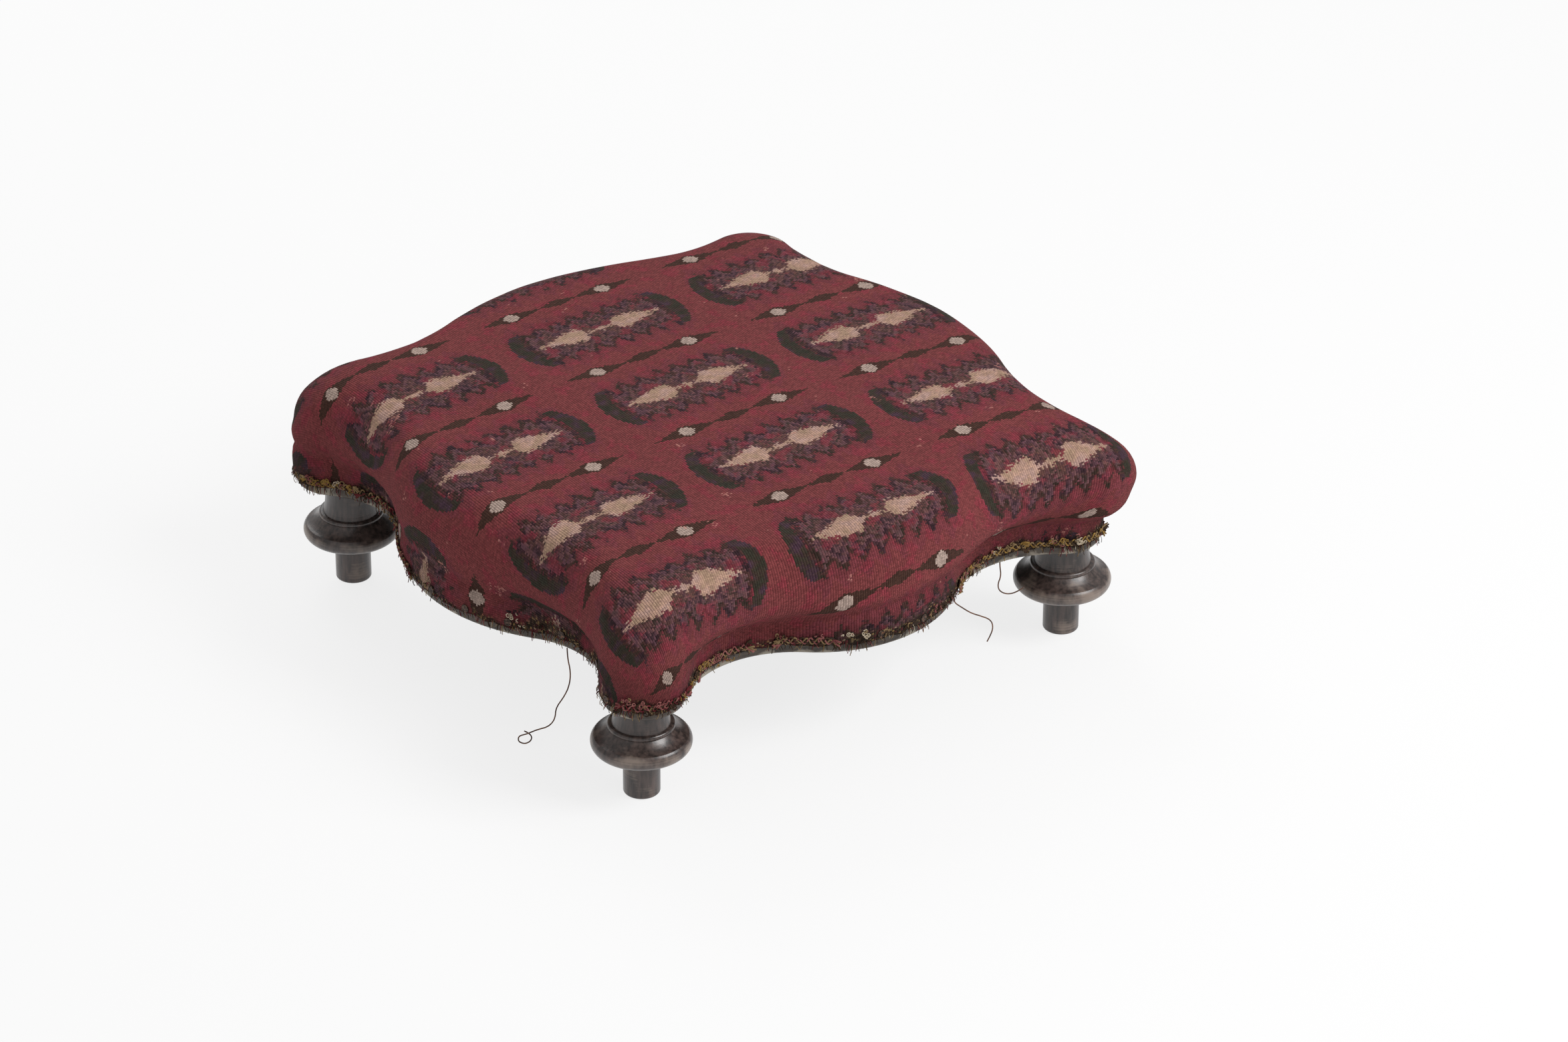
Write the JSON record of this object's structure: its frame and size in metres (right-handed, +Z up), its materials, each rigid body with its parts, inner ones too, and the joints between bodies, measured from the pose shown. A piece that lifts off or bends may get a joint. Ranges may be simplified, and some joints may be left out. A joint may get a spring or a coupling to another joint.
{
  "type": "footstool",
  "caption": "low square footstool with a serpentine wooden frame, turned disc feet and a crowned stuffed top in flame-stitch needlework, worn at its edge",
  "frame": {"origin": "on the floor, under the middle of the frame", "axes": "+Z up; +X to the right and -Y towards the front when the stool is seen from its front side"},
  "size_m": [0.402, 0.402, 0.1509],
  "materials": {
    "rail_wood": "worn dark-stained beech, dull, rubbed pale along the lower edge",
    "foot_wood": "turned and dark-stained, scuffed on the widest lines",
    "jute_webbing": "plain woven jute, matt",
    "iron_tacks": "blued cut tacks, dull and a little rusty",
    "hessian": "coarse open jute weave",
    "hair_stuffing": "curled horsehair, matted",
    "calico": "unbleached plain cotton",
    "cotton_wadding": "soft sheet of cotton wadding",
    "needlework": "wool flame-stitch needlework with a repeating pattern, worn and a little faded",
    "bottom_cloth": "black dust cloth, plain weave",
    "braid": "frayed remnants of a tan and gold edging braid",
    "loose_thread": "loose wool thread ends"
  },
  "bodies": {
    "root": {"back_rail": "rail_wood", "bottom_cloth": "bottom_cloth", "bottom_cloth_tacks": "iron_tacks", "braid_remnant_back_left_corner": "braid", "braid_remnant_front_left_corner": "braid", "braid_remnant_front_right_corner": "braid", "braid_remnant_front_side": "braid", "braid_remnant_left_side": "braid", "calico_tacks": "iron_tacks", "calico_undercover": "calico", "cover_tacks": "iron_tacks", "foot_back_left": "foot_wood", "foot_back_right": "foot_wood", "foot_front_left": "foot_wood", "foot_front_right": "foot_wood", "front_rail": "rail_wood", "hessian_platform": "hessian", "hessian_tacks": "iron_tacks", "left_rail": "rail_wood", "loose_thread_front": "loose_thread", "loose_thread_left": "loose_thread", "loose_thread_right": "loose_thread", "needlework_cover": "needlework", "right_rail": "rail_wood", "stuffing": "hair_stuffing", "wadding": "cotton_wadding", "web_crosswise_1": "jute_webbing", "web_crosswise_2": "jute_webbing", "web_crosswise_3": "jute_webbing", "web_lengthwise_1": "jute_webbing", "web_lengthwise_2": "jute_webbing", "web_lengthwise_3": "jute_webbing", "webbing_tacks": "iron_tacks"}
  },
  "joints": []
}
